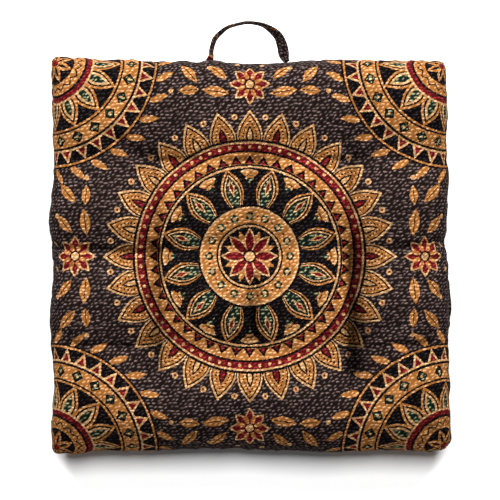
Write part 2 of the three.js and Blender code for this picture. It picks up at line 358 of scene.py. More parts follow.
class WeaveSizes(bpy.types.PropertyGroup):
    """The coarse weave, whose raised yarns show as slanting flecks"""

    pitch_across: length_setting(
        "Fleck pitch",
        "Distance from one yarn fleck to the next in a row",
        8.3 * MM,
        MM,
    )
    pitch_along: length_setting(
        "Row pitch",
        "Distance from one row of flecks to the next",
        5.8 * MM,
        MM,
    )
    row_shift: share_setting(
        "Row shift",
        "How far each row stands aside from the one below, as a share of the fleck pitch",
        0.3,
    )
    fleck_length: length_setting("Fleck length", "Length of one raised yarn fleck", 4.6 * MM, MM)
    fleck_width: length_setting("Fleck width", "Width of one raised yarn fleck", 1.9 * MM, MM)
    fleck_slant: bpy.props.FloatProperty(
        name="Fleck slant",
        description="How far the flecks rise along their row",
        default=math.radians(21),
        subtype="ANGLE",
    )
    unevenness: share_setting(
        "Unevenness",
        "How far the flecks differ in place, length and slant",
        0.55,
    )
    relief: length_setting("Relief", "How far the flecks stand out of the cloth", 0.5 * MM)


class StrapSizes(bpy.types.PropertyGroup):
    """The carrying strap"""

    width: length_setting("Width", "The flat band's width", 25 * MM, 5 * MM)
    thickness: length_setting("Thickness", "The folded cloth's thickness", 4.2 * MM, MM)
    gap: length_setting("Gap at the seam", "How far the ends stop short of the cover", 0.4 * MM)


class StudioSettings(bpy.types.PropertyGroup):
    """The camera, the lights and the floor"""

    lens: bpy.props.FloatProperty(
        name="Lens",
        description="Focal length of the camera in millimetres",
        default=200,
        min=20,
    )
    view_width: length_setting(
        "View width",
        "Width of the picture at the height of the seam",
        827 * MM,
        0.1,
    )
    key_power: bpy.props.FloatProperty(
        name="Softboxes",
        description="Power of which each of the soft lights has its share",
        default=765,
        min=0,
        unit="POWER",
    )
    sky_strength: bpy.props.FloatProperty(
        name="Sky light",
        description="Strength of the even light from all sides",
        default=0.12,
        min=0,
    )
    paper: colour_setting("Floor colour", "Colour of the pale floor", (0.93, 0.93, 0.93))


def seam_loop():
    """The seam's points on the part's own cushion, counted from the cushion's middle"""
    points = np.array([v.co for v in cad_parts["cushion"].data.vertices])
    at_seam = np.abs(points[:, 2] - SEAM_HEIGHT) < EDGE_LEVEL
    return points[at_seam][:, :2] - MIDDLE


def edge_line(loop, axis, side):
    """One edge of the seam: places along it, and how far it stands out there past its straight line"""
    half_size = (HALF_WIDTH, HALF_LENGTH)[axis]
    along = loop[:, 1 - axis]
    out = side * loop[:, axis] - half_size
    near = (np.abs(out) < EDGE_BAND) & (np.abs(along) < EDGE_END)
    order = np.argsort(along[near])
    return along[near][order], out[near][order]


class Outline:
    """How far each edge of the cushion stands out at places along it"""

    def __init__(self):
        loop = seam_loop()
        self.edges = {
            "right": edge_line(loop, 0, 1),
            "left": edge_line(loop, 0, -1),
            "far": edge_line(loop, 1, 1),
            "near": edge_line(loop, 1, -1),
        }

    def out(self, edge, along):
        """How far that edge stands out, smoothly between the part's own points"""
        places, outs = self.edges[edge]
        fine = np.arange(-HALF_WIDTH, HALF_WIDTH, MM)
        values = np.interp(fine, places, outs)
        reach = 3 * EDGE_SMOOTHING
        bell = np.exp(-((np.arange(-reach, reach + 1) / EDGE_SMOOTHING) ** 2))
        padded = np.pad(values, reach, mode="edge")
        smooth = np.convolve(padded, bell / bell.sum(), mode="valid")
        return np.interp(along, fine, smooth)


def corner_radius(x, y):
    """The seam's radius at the corner that a point belongs to"""
    radius = np.zeros_like(x)
    for corner in CORNERS:
        here = (corner["side_x"] * x >= 0) & (corner["side_y"] * y >= 0)
        radius[here] = corner["radius"] * MM
    return radius


def inset_of(x, y):
    """How far in from the seam's square a point lies"""
    return np.minimum(HALF_WIDTH - np.abs(x), HALF_LENGTH - np.abs(y))


def from_corner(x, y):
    """The middle of the round corner that a point belongs to, and how far past it the point lies"""
    inset = inset_of(x, y)
    radius = corner_radius(x, y) + CORNER_GROWTH * np.minimum(inset, WALL_REACH)
    centre = np.stack([HALF_WIDTH - inset - radius, HALF_LENGTH - inset - radius])
    return centre, np.abs(np.stack([x, y])) - centre


def fading(distance, reach):
    """1 where the distance is 0, fading out over a reach as a bell does"""
    return np.exp(-((distance / reach) ** 2))


def to_corner(x, y):
    """How far each point is from the nearest corner of the seam's square"""
    return np.hypot(HALF_WIDTH - np.abs(x), HALF_LENGTH - np.abs(y))


def outward(x, y):
    """The level direction from each point of the square straight out through the wall"""
    past = from_corner(x, y)[1]
    straight = np.where(past[0] > past[1], [[[1.0]], [[0.0]]], [[[0.0]], [[1.0]]])
    rounded = past / np.maximum(np.hypot(*past), TINY)
    in_corner = (past > 0).all(axis=0)
    return np.where(in_corner, rounded, straight) * np.sign([x, y])


def on_plan(x, y, outline):
    """Points of the square, moved so that the corners are round and the edges follow the part's seam"""
    centre, past = from_corner(x, y)
    rounding = 1 - np.clip((inset_of(x, y) - WALL_REACH) / CORNER_FADE, 0, 1)
    pull = past.max(axis=0) / np.maximum(np.hypot(*past), TINY)
    in_corner = (past > 0).all(axis=0)
    scale = np.where(in_corner, 1 + (pull - 1) * rounding, 1)
    right = outline.out("right", y) * np.exp(-(HALF_WIDTH - x) / EDGE_FADE)
    left = outline.out("left", y) * np.exp(-(HALF_WIDTH + x) / EDGE_FADE)
    far = outline.out("far", x) * np.exp(-(HALF_LENGTH - y) / EDGE_FADE)
    near = outline.out("near", x) * np.exp(-(HALF_LENGTH + y) / EDGE_FADE)
    plan = np.sign([x, y]) * (centre + past * scale)
    return plan[0] + right - left, plan[1] + far - near


def on_flat_cloth(x, y, outline, wall):
    """Where each point lies on the flat cloth: the walls are folded out level"""
    inset = np.minimum(inset_of(x, y), WALL_REACH)
    folded_out = wall.length - wall.cloth_at(inset) - (WALL_REACH - inset)
    flat = np.stack(on_plan(x, y, outline)) + outward(x, y) * folded_out
    return np.stack([*flat, np.zeros_like(x)], axis=-1)


def away_from_tuft(place, lines):
    """From 0 at a tuft line to 1 half way to the next one"""
    distance = np.min(np.abs(place[..., None] - lines), axis=-1)
    return np.sin((math.pi / 2) * np.minimum(1, distance / PUFF_REACH))


def drawn_in(x, y):
    """1 at a tuft, 0 on the crown of a puff"""
    across_x = away_from_tuft(x, TUFT_COLUMNS)
    across_y = away_from_tuft(y, TUFT_ROWS)
    away = np.sqrt(across_x**2 + across_y**2 + TUFT_SOFTNESS**2) - TUFT_SOFTNESS
    furthest = math.sqrt(2 + TUFT_SOFTNESS**2) - TUFT_SOFTNESS
    return 1 - away / furthest


def wall_rise(depth):
    """The wall's share of the full rise at a distance in from the seam"""
    share = np.clip(depth / WALL_REACH, 0, 1)
    return (1 - (1 - share) ** WALL_POWER) ** (1 / WALL_POWER)


def crown_rise(x, y, side, sizes):
    """The crown of the face or of the back, counted from the seam"""
    droop = CORNER_DROOP * fading(to_corner(x, y), CORNER_REACH)
    if side == BACK:
        full = SEAM_HEIGHT + FLOOR_SQUASH
        return full - sizes.back_dimple * drawn_in(x, y) - BACK_DROOP_SHARE * droop
    full = THICKNESS - SEAM_HEIGHT - FACE_SINK
    near = NEAR_DROOP * fading(y + HALF_LENGTH, NEAR_REACH)
    return full - sizes.face_dimple * drawn_in(x, y) - droop - near


def sheet_points(columns, rows, side, outline, sizes):
    """The smooth filled shape of one panel, over a grid of lines"""
    x, y = np.meshgrid(columns, rows)
    plan_x, plan_y = on_plan(x, y, outline)
    rise = wall_rise(inset_of(x, y)) * crown_rise(x, y, side, sizes)
    z = np.maximum(0, SEAM_HEIGHT + side * rise)
    return np.stack([plan_x, plan_y, z], axis=-1)


class WallCurve:
    """The wall's curve from the seam to the face, measured along the cloth"""

    def __init__(self):
        turn = np.linspace(0, math.pi / 2, WALL_SAMPLES)
        self.inset = WALL_REACH * (1 - np.cos(turn) ** (2 / WALL_POWER))
        rise = (THICKNESS - SEAM_HEIGHT) * np.sin(turn) ** (2 / WALL_POWER)
        steps = np.hypot(np.diff(self.inset), np.diff(rise))
        self.cloth = np.concatenate([[0], np.cumsum(steps)])
        self.length = self.cloth[-1]

    def inset_at(self, share):
        """How far in from the seam the wall is at a share of its own length"""
        return np.interp(share * self.length, self.cloth, self.inset)

    def cloth_at(self, inset):
        """How much cloth lies between the seam and a distance in from it"""
        return np.interp(inset, self.inset, self.cloth)


def grid_lines(half_size, tuft_lines, pitch, ease, wall):
    """Places of a panel's grid lines from seam to seam, closer together at the tuft lines"""
    wall_steps = round(wall.length / pitch)
    walls = wall.inset_at(np.arange(wall_steps) / wall_steps)
    stops = [WALL_REACH - half_size, *tuft_lines, half_size - WALL_REACH]
    lines = list(walls - half_size)
    for start, end in zip(stops[:-1], stops[1:]):
        steps = round((end - start) / pitch)
        share = np.arange(steps) / steps
        eased = share - ease * np.sin(2 * math.pi * share) / (2 * math.pi)
        lines.extend(start + (end - start) * eased)
    lines.extend([half_size - WALL_REACH, *(half_size - walls[::-1])])
    return np.array(lines)


def panel_lines(pitch, ease, wall):
    """The places of a panel's columns and of its rows"""
    columns = grid_lines(HALF_WIDTH, TUFT_COLUMNS, pitch, ease, wall)
    rows = grid_lines(HALF_LENGTH, TUFT_ROWS, pitch, ease, wall)
    return columns, rows


def spline_weights(places, knots):
    """A matrix that reads values at the knots as one smooth curve at the places"""
    index = np.interp(places, knots, np.arange(len(knots)))
    weights = np.zeros((len(places), len(knots)))
    last = len(knots) - 1
    for row, value in enumerate(index):
        base = min(int(value), last - 1)
        part = value - base
        shares = (
            (1 - part) ** 3 / 6,
            (3 * part**3 - 6 * part**2 + 4) / 6,
            (-3 * part**3 + 3 * part**2 + 3 * part + 1) / 6,
            part**3 / 6,
        )
        for knot, share in enumerate(shares, base - 1):
            # Past either end the values go on in a straight line
            if knot < 0:
                weights[row, 0] += 2 * share
                weights[row, 1] -= share
            elif knot > last:
                weights[row, last] += 2 * share
                weights[row, last - 1] -= share
            else:
                weights[row, knot] += share
    return weights


def sheet_numbers(row_count, column_count):
    """The point numbers of the face's grid and of the back's, which share the seam's loop"""
    face = np.arange(row_count * column_count).reshape(row_count, column_count)
    back = face.copy()
    inner = (row_count - 2) * (column_count - 2)
    back[1:-1, 1:-1] = face.size + np.arange(inner).reshape(row_count - 2, column_count - 2)
    return face, back


def quads(numbers, side):
    """The quads of a grid of point numbers, facing out"""
    corners = [numbers[:-1, :-1], numbers[:-1, 1:], numbers[1:, 1:], numbers[1:, :-1]]
    if side == BACK:
        corners.reverse()
    return np.stack(corners, axis=-1).reshape(-1, 4)


def mesh_from(name, points, faces):
    """A smooth mesh from arrays of points and of quads"""
    mesh = bpy.data.meshes.new(name)
    mesh.vertices.add(len(points))
    mesh.vertices.foreach_set("co", points.astype(np.float32).ravel())
    mesh.loops.add(faces.size)
    mesh.loops.foreach_set("vertex_index", faces.astype(np.int32).ravel())
    mesh.polygons.add(len(faces))
    mesh.polygons.foreach_set("loop_start", np.arange(0, faces.size, 4, dtype=np.int32))
    mesh.polygons.foreach_set("use_smooth", np.ones(len(faces), dtype=bool))
    mesh.update(calc_edges=True)
    mesh.validate()
    return mesh


def linked(name, mesh):
    """An object of that mesh in the scene"""
    piece = bpy.data.objects.new(name, mesh)
    bpy.context.scene.collection.objects.link(piece)
    return piece


def both_sheets(face, back):
    """All values of the closed cover: the face's grid, then the back's without the seam"""
    inner = back[1:-1, 1:-1]
    return np.concatenate([face.reshape(-1, *face.shape[2:]), inner.reshape(-1, *back.shape[2:])])


def cover_quads(numbers):
    """The quads of the closed cover, from the point numbers of its two grids"""
    return np.concatenate([quads(numbers[0], FACE), quads(numbers[1], BACK)])


def at_tufts(x, y, reach):
    """1 at the tufts, fading out over a reach"""
    strongest = np.zeros_like(x)
    for column, row in TUFTS:
        strongest = np.maximum(strongest, fading(np.hypot(x - column, y - row), reach))
    return strongest


def held_firmly(x, y, back):
    """How firmly each point is held: at the tufts, at the floor and a little at the seam"""
    seam_hold = SEAM_HOLD * fading(inset_of(x, y), SEAM_HOLD_REACH)
    face_hold = np.maximum(at_tufts(x, y, TUFT_HOLD_REACH), seam_hold)
    on_floor = (back[..., 2] < FLOOR_HOLD) * 1.0
    back_hold = np.maximum(face_hold, on_floor)
    return np.clip(both_sheets(face_hold, back_hold), LEAST_HOLD, 1)


def fill_cloth(cloth, hold, sizes):
    """Gives a cloth the simulation of its filling, with its points held as firmly as given"""
    group = cloth.vertex_groups.new(name="held")
    for number, weight in enumerate(hold):
        group.add([number], float(weight), "REPLACE")
    modifier = cloth.modifiers.new("Filling", "CLOTH")
    settings = modifier.settings
    for name, value in CLOTH_SETTINGS.items():
        setattr(settings, name, value)
    settings.uniform_pressure_force = sizes.pressure
    settings.shrink_min = -sizes.spare_cloth
    settings.shrink_max = -sizes.spare_cloth
    settings.effector_weights.gravity = 0
    settings.vertex_group_mass = group.name
    modifier.point_cache.frame_start = 1
    modifier.point_cache.frame_end = SIMULATION_STEPS


def last_points(cloth, count):
    """Where the cloth's points are when the simulation has run"""
    scene = bpy.context.scene
    for step in range(SIMULATION_STEPS):
        scene.frame_set(1 + step)
    evaluated = cloth.evaluated_get(bpy.context.evaluated_depsgraph_get())
    places = np.zeros(count * 3, np.float32)
    evaluated.data.vertices.foreach_get("co", places)
    scene.frame_set(1)
    return places.reshape(-1, 3)


def simulated(face, back, columns, rows, sizes):
    """How the filling moves the points of the face and of the back"""
    numbers = sheet_numbers(len(rows), len(columns))
    points = both_sheets(face, back)
    cloth = linked("cloth", mesh_from("cloth", points, cover_quads(numbers)))
    fill_cloth(cloth, held_firmly(*np.meshgrid(columns, rows), back), sizes)
    moved = last_points(cloth, len(points)) - points
    mesh = cloth.data
    bpy.data.objects.remove(cloth)
    bpy.data.meshes.remove(mesh)
    return moved[numbers[0]], moved[numbers[1]]


def swell_share(x, y):
    """The share of the simulated move that each point takes: little at the seam, and none at its corners"""
    inner = np.clip(inset_of(x, y) / WALL_REACH, 0, 1)
    rising = SEAM_SWELL + (1 - SEAM_SWELL) * inner**SWELL_POWER
    upright = rising * (1 - fading(to_corner(x, y), CORNER_HOLD))
    sideways = upright * (1 - SIDEWAYS_LOSS * inner)
    return np.stack([sideways, sideways, upright], axis=-1)


def capped(move, limit):
    """Moves that are no longer than a limit, with a soft shoulder"""
    length = np.linalg.norm(move, axis=-1, keepdims=True)
    wanted = limit * np.tanh(length / limit)
    return move * wanted / np.maximum(length, TINY)


def uneven(x, y, pitch, seed, waves=7):
    """A smooth, random unevenness around 0, with bumps about a pitch apart"""
    random = np.random.default_rng(seed)
    total = np.zeros_like(x)
    for _ in range(waves):
        turn = random.uniform(0, 2 * math.pi)
        scale = random.uniform(*BUMP_SPREAD) / (2 * pitch)
        start = random.uniform(0, 2 * math.pi)
        run = x * math.cos(turn) + y * math.sin(turn)
        total += np.sin(2 * math.pi * run * scale + start)
    return total / math.sqrt(waves / 2)


def bumps(x, y, kind, seed_step=0):
    """The height of one kind of random bumps at each point"""
    shape = uneven(x, y, kind["pitch"] * MM, kind["seed"] + seed_step, kind["waves"])
    return kind["height"] * MM * shape


def crease_depth(x, y):
    """How deep the creases cut at a point of the face"""
    wander_x = bumps(x, y, CREASE_WANDER)
    wander_y = bumps(x, y, CREASE_WANDER, 1)
    total = np.zeros_like(x)
    for number, crease in enumerate(CREASES):
        start = np.array(crease["start"]) * MM
        run = np.array(crease["end"]) * MM - start
        from_x = x + wander_x - start[0]
        from_y = y + wander_y - start[1]
        share = np.clip((from_x * run[0] + from_y * run[1]) / (run @ run), 0, 1)
        distance = np.hypot(from_x - share * run[0], from_y - share * run[1])
        on_left = run[0] * from_y - run[1] * from_x > 0
        spread = np.where(on_left, crease["left"], crease["right"]) * MM
        change = CREASE_CHANGE * uneven(x, y, CREASE_PITCH, CREASE_SEED + number)
        trough = np.exp(-((distance / spread) ** CREASE_POWER))
        total = np.maximum(total, crease["depth"] * MM * (1 - CREASE_CHANGE + change) * trough)
    return total


def pucker_height(x, y, seed):
    """Small folds that run out from each tuft and bend a little"""
    random = np.random.default_rng(seed)
    total = np.zeros_like(x)
    for column, row in TUFTS:
        count = random.integers(*PUCKER_COUNTS)
        start = random.uniform(0, 2 * math.pi)
        bend = random.uniform(-PUCKER_LEAN, PUCKER_LEAN)
        distance = np.hypot(x - column, y - row)
        turn = np.arctan2(y - row, x - column) + bend * np.minimum(distance / PUCKER_BEND, 2)
        # A second set of folds is half as high and has three more of them
        fold = np.cos(count * turn + start) + 0.5 * np.cos((count + 3) * turn - start)
        reach = fading(distance, PUCKER_END) * (1 - fading(distance, PUCKER_START))
        total += PUCKER_HEIGHT * fold * reach
    return total


def seam_height(x, y, wall):
    """The groove at the seam, and the small gathers beside it"""
    cloth = wall.cloth_at(np.minimum(inset_of(x, y), WALL_REACH))
    groove = SEAM_GROOVE * fading(cloth, GROOVE_REACH)
    gathers = bumps(x, y, SEAM_GATHERS) * np.exp(-cloth / GATHER_REACH)
    gathers *= 1 - fading(cloth, GATHER_START)
    long_gathers = bumps(x, y, LONG_GATHERS) * np.exp(-cloth / LONG_GATHER_REACH)
    return gathers + long_gathers - groove


def grid_normals(points):
    """The direction square to the cloth at each point of a panel, on the side that looks up"""
    along_x = np.gradient(points, axis=1)
    along_y = np.gradient(points, axis=0)
    normal = np.cross(along_x, along_y)
    return normal / np.maximum(np.linalg.norm(normal, axis=-1, keepdims=True), TINY)


def on_seam(shape):
    """Which points of a panel's grid lie on the seam"""
    seam = np.zeros(shape, bool)
    seam[[0, -1], :] = True
    seam[:, [0, -1]] = True
    return seam


def detail_directions(points, x, y, side):
    """Where the details push each point: upright on the face, square to the wall, and level at the seam"""
    upright = np.clip(inset_of(x, y) / WALL_REACH, 0, 1)[..., None] ** 2
    normal = side * grid_normals(points) * (1 - upright) + np.array([0, 0, side]) * upright
    normal /= np.linalg.norm(normal, axis=-1, keepdims=True)
    level = np.stack([*outward(x, y), np.zeros_like(x)], axis=-1)
    return np.where(on_seam(x.shape)[..., None], level, normal)


def detailed(points, x, y, side, wall):
    """A panel with its creases, puckers, seam and slight unevenness"""
    height = bumps(x, y, SLOW_BUMPS, side) + bumps(x, y, FINE_BUMPS, side)
    height += pucker_height(x, y, PUCKER_SEED + side) + seam_height(x, y, wall)
    height -= PIT_DEPTH * at_tufts(x, y, PIT_REACH)
    if side == FACE:
        height -= crease_depth(x, y)
    moved = points + detail_directions(points, x, y, side) * height[..., None]
    moved[..., 2] = np.maximum(moved[..., 2], 0)
    return moved


def swelling(columns, rows, sizes, wall, outline):
    """How the filling moves the points of both panels, carried over from a simulated coarse grid"""
    coarse_columns, coarse_rows = panel_lines(sizes.simulation_pitch, 0, wall)
    face = sheet_points(coarse_columns, coarse_rows, FACE, outline, sizes)
    back = sheet_points(coarse_columns, coarse_rows, BACK, outline, sizes)
    across = spline_weights(columns, coarse_columns)
    along = spline_weights(rows, coarse_rows)
    share = swell_share(*np.meshgrid(coarse_columns, coarse_rows))
    moves = []
    for move in simulated(face, back, coarse_columns, coarse_rows, sizes):
        limited = capped(move, sizes.swell_limit) * share
        moves.append(np.einsum("ri,ijk,cj->rck", along, limited, across))
    return moves


def cover_points(sizes, wall, outline):
    """The cover's two panels at full detail, their points on the flat cloth, and their depth in a crease"""
    columns, rows = panel_lines(sizes.pitch, TUFT_EASE, wall)
    face = sheet_points(columns, rows, FACE, outline, sizes)
    back = sheet_points(columns, rows, BACK, outline, sizes)
    face_move, back_move = swelling(columns, rows, sizes, wall, outline)
    face += face_move
    back += back_move
    x, y = np.meshgrid(columns, rows)
    face = detailed(face, x, y, FACE, wall)
    back = detailed(back, x, y, BACK, wall)
    return face, back, on_flat_cloth(x, y, outline, wall), crease_depth(x, y)


def give_flat_places(mesh, flat):
    """Stores where each point lies on the flat cloth, which the print and the weave are worked out from"""
    attribute = mesh.attributes.new("flat_cloth", "FLOAT_VECTOR", "POINT")
    attribute.data.foreach_set("vector", flat.astype(np.float32).ravel())


def give_painted_shade_depths(mesh, folds):
    """Stores how deep in a crease each point lies, for the material to paint shade down in the creases"""
    depths = np.clip(folds / FULLY_SHADED_DEPTH, 0, 1)
    attribute = mesh.attributes.new("fold", "FLOAT", "POINT")
    attribute.data.foreach_set("value", depths.astype(np.float32).ravel())


def make_cover(sizes):
    """The cushion's cover as one closed cloth"""
    face, back, flat, folds = cover_points(sizes, WallCurve(), Outline())
    points = both_sheets(face, back)
    points[:, :2] += MIDDLE
    faces = cover_quads(sheet_numbers(*face.shape[:2]))
    mesh = mesh_from("cushion_cover", points, faces)
    give_flat_places(mesh, both_sheets(flat, flat))
    # The face's crease depths, for the shade painted into its creases; the back gets none
    give_painted_shade_depths(mesh, both_sheets(folds, np.zeros_like(folds)))
    return linked("cushion_cover", mesh)


def far_edge(x, outline):
    """How far along Y the seam lies at a place of the far edge"""
    return HALF_LENGTH + outline.out("far", x)


def strap_line(sizes, outline):
    """The strap's run: its middle points, twist and width share at even steps, and how far along each is"""
    rows = []
    for row in STRAP_ROUTE:
        x = row["x"] * MM
        if row["out"] is None:
            y = far_edge(x, outline) + sizes.gap
        else:
            y = HALF_LENGTH + row["out"] * MM
        rows.append((x, y, math.radians(row["twist"]), row["width"]))
    knots = np.array(rows)
    apart = np.sqrt(np.linalg.norm(np.diff(knots[:, :2], axis=0), axis=1))
    times = np.concatenate([[0], np.cumsum(apart)])
    fine = np.linspace(0, times[-1], STRAP_CURVE_STEPS * len(knots))
    curve = np.stack([smooth_curve(fine, times, values) for values in knots.T], axis=-1)
    length = np.concatenate([[0], np.cumsum(np.linalg.norm(np.diff(curve[:, :2], axis=0), axis=1))])
    places = np.linspace(0, length[-1], STRAP_STEPS + 1)
    line = np.stack([np.interp(places, length, values) for values in curve.T], axis=-1)
    return line, places


def smooth_curve(places, times, values):
    """A smooth curve through values that stand at uneven times"""
    slopes = np.gradient(values, times)
    index = np.clip(np.searchsorted(times, places, side="right") - 1, 0, len(times) - 2)
    span = times[index + 1] - times[index]
    part = (places - times[index]) / span
    start = (2 * part**3 - 3 * part**2 + 1) * values[index]
    leave = (part**3 - 2 * part**2 + part) * span * slopes[index]
    arrive = (part**3 - part**2) * span * slopes[index + 1]
    end = (3 * part**2 - 2 * part**3) * values[index + 1]
    return start + leave + arrive + end


def strap_section(width, thickness):
    """A flat band's section with round edges: each point's place across the band and out of it"""
    turn = np.linspace(0, 2 * math.pi, STRAP_AROUND, endpoint=False) + math.pi / STRAP_AROUND
    across = np.sign(np.cos(turn)) * np.abs(np.cos(turn)) ** STRAP_ROUNDNESS * width / 2
    out = np.sign(np.sin(turn)) * np.abs(np.sin(turn)) ** STRAP_ROUNDNESS * thickness / 2
    return across, out


def round_the_band(across, out):
    """How far each point of the section lies round the band from the middle of its outer face"""
    loop = np.stack([across, out], axis=-1)
    steps = np.linalg.norm(np.roll(loop, -1, axis=0) - loop, axis=1)
    places = np.concatenate([[0], np.cumsum(steps)[:-1]])
    return places - steps.sum() / 4


def strap_frames(line):
    """At each step of the strap: its middle, and the directions out of it and across it"""
    middle = np.column_stack([line[:, 0], line[:, 1], np.full(len(line), SEAM_HEIGHT)])
    run = np.gradient(middle, axis=0)
    run /= np.linalg.norm(run, axis=1, keepdims=True)
    up = np.array([0.0, 0.0, 1.0])
    level = np.cross(up, run)
    twist = line[:, 2][:, None]
    across = up * np.cos(twist) + level * np.sin(twist)
    normal = level * np.cos(twist) - up * np.sin(twist)
    return middle, normal, across


def strap_rings(sizes, line, places):
    """The rings of the band's points, and where each point lies on the flat cloth"""
    middle, normal, across = strap_frames(line)
    points = np.zeros((len(line), STRAP_AROUND, 3))
    flat = np.zeros_like(points)
    for step, place in enumerate(places):
        place_across, place_out = strap_section(sizes.width * line[step, 3], sizes.thickness)
        from_end = min(place, places[-1] - place)
        gather = STRAP_GATHER * math.exp(-from_end / STRAP_GATHER_REACH)
        ripple = gather * np.sin(place_across / STRAP_GATHER_PITCH) * np.sign(place_out)
        points[step] = middle[step] + np.outer(place_across, across[step])
        points[step] += np.outer(place_out + ripple, normal[step])
        flat[step, :, 0] = round_the_band(place_across, place_out)
        flat[step, :, 1] = place
    wave = bumps(flat[..., 0], flat[..., 1], STRAP_BUMPS)
    return points + wave[..., None] * normal[:, None, :], flat


def make_strap(sizes):
    """The carrying strap as a folded band with soft round edges"""
    outline = Outline()
    points, flat = strap_rings(sizes, *strap_line(sizes, outline))
    clear_of_wall(points, outline, sizes.gap)
    points[..., :2] += MIDDLE
    mesh = closed_tube("handle_strap_cloth", points)
    give_flat_places(mesh, flat.reshape(-1, 3))
    return linked("handle_strap_cloth", mesh)


def closed_tube(name, points):
    """A tube's mesh from its rings of points, with its two ends closed by strips of quads"""
    rings, around = points.shape[:2]
    numbers = np.arange(rings * around).reshape(rings, around)
    sides = quads(np.column_stack([numbers, numbers[:, 0]]), FACE)
    last = numbers[-1, 0]
    caps = []
    for near in range(around // 2 - 1):
        across = around - 1 - near
        caps.append((across, across - 1, near + 1, near))
        caps.append((last + near, last + near + 1, last + across - 1, last + across))
    return mesh_from(name, points.reshape(-1, 3), np.concatenate([sides, np.array(caps)]))


def clear_of_wall(points, outline, gap):
    """Moves the strap's points out of the cushion's far wall"""
    rise = np.abs(points[..., 2] - SEAM_HEIGHT) / (THICKNESS - SEAM_HEIGHT)
    inset = WALL_REACH * (1 - (1 - np.minimum(rise, 1) ** WALL_POWER) ** (1 / WALL_POWER))
    step = np.arange(len(points))
    from_end = np.minimum(np.minimum(step, step[::-1]), STRAP_END_STEPS)[:, None]
    nearest = far_edge(points[..., 0], outline) - inset + gap + STRAP_END_EASE * from_end
    points[..., 1] = np.maximum(points[..., 1], nearest)


class Maths:
    """Builds a material's maths one node after another, in the order in which they are needed"""

    def __init__(self, tree):
        self.tree = tree

    def node(self, kind, **settings):
        """A new node with its settings"""
        made = self.tree.nodes.new(kind)
        for name, value in settings.items():
            setattr(made, name, value)
        return made

    def feed(self, socket, value):
        """Gives a node's input a number, a colour or another node's result"""
        if isinstance(value, Measure):
            self.tree.links.new(value.socket, socket)
        elif isinstance(value, bpy.types.NodeSocket):
            self.tree.links.new(value, socket)
        else:
            socket.default_value = value

    def step(self, kind, *values):
        """One step of arithmetic"""
        made = self.node("ShaderNodeMath", operation=kind)
        for socket, value in zip(made.inputs, values):
            self.feed(socket, value)
        return Measure(self, made.outputs[0])

    def ramp(self, value, low, high, smooth=True):
        """0 below low, 1 above high, and rising between them"""
        kind = "SMOOTHSTEP" if smooth else "LINEAR"
        made = self.node("ShaderNodeMapRange", interpolation_type=kind)
        for name, given in (("Value", value), ("From Min", low), ("From Max", high)):
            self.feed(made.inputs[name], given)
        return Measure(self, made.outputs["Result"])

    def mixed(self, share, first, second):
        """A number between two others"""
        made = self.node("ShaderNodeMix", data_type="FLOAT")
        self.feed(made.inputs["Factor"], share)
        self.feed(made.inputs["A"], first)
        self.feed(made.inputs["B"], second)
        return Measure(self, made.outputs["Result"])

    def mixed_colour(self, share, first, second, kind="MIX"):
        """A colour between two others"""
        made = self.node("ShaderNodeMix", data_type="RGBA", blend_type=kind)
        self.feed(made.inputs["Factor"], share)
        self.feed(made.inputs[6], first)
        self.feed(made.inputs[7], second)
        return made.outputs[2]

    def attribute(self, name):
        """What the mesh stores at each point under a name"""
        return self.node("ShaderNodeAttribute", attribute_name=name)

    def noise(self, place, scale, detail):
        """A smooth random pattern over the cloth"""
        made = self.node("ShaderNodeTexNoise", noise_dimensions="2D")
        self.feed(made.inputs["Vector"], place)
        self.feed(made.inputs["Scale"], scale)
        self.feed(made.inputs["Detail"], detail)
        return made

    def split(self, place):
        """A place's two measures on the cloth, across it and along it"""
        made = self.node("ShaderNodeSeparateXYZ")
        self.feed(made.inputs[0], place)
        return Measure(self, made.outputs[0]), Measure(self, made.outputs[1])


class Measure:
    """A number that a material works out at each point, so that its formulas read as plain arithmetic"""

    def __init__(self, maths, socket):
        self.maths = maths
        self.socket = socket

    def __add__(self, other):
        return self.maths.step("ADD", self, other)

    def __sub__(self, other):
        return self.maths.step("SUBTRACT", self, other)

    def __rsub__(self, other):
        return self.maths.step("SUBTRACT", other, self)

    def __mul__(self, other):
        return self.maths.step("MULTIPLY", self, other)

    def __truediv__(self, other):
        return self.maths.step("DIVIDE", self, other)

    def __abs__(self):
        return self.maths.step("ABSOLUTE", self)

    def __lt__(self, other):
        return self.maths.step("LESS_THAN", self, other)

    def __gt__(self, other):
        return self.maths.step("GREATER_THAN", self, other)

    def sine(self):
        """Its sine"""
        return self.maths.step("SINE", self)

    def whole(self):
        """The whole number at or below it"""
        return self.maths.step("FLOOR", self)

    def rest(self):
        """What is over its whole number"""
        return self.maths.step("FRACT", self)


def band(shape, dye, **sizes):
    """A ring of shapes in one dye, with its sizes in millimetres on the cloth"""
    return {"shape": shape, "dye": dye, **sizes}


def discs(*layers):
    """Round discs on top of one another: each one's dye and radius"""
    return [band("disc", dye, outer=outer) for dye, outer in layers]


def dots(count, middle, *layers, turn=0):
    """A ring of round dots at a radius: each layer's dye and width"""
    return [band("dot", dye, count=count, turn=turn, middle=middle, width=width) for dye, width in layers]


def pointed(shape, count, *layers, **form):
    """A ring of petals, triangles or diamonds: each layer's dye, inner and outer radius, and width"""
    rings = []
    for dye, inner, outer, width in layers:
        rings.append(band(shape, dye, count=count, inner=inner, outer=outer, width=width, **form))
    return rings


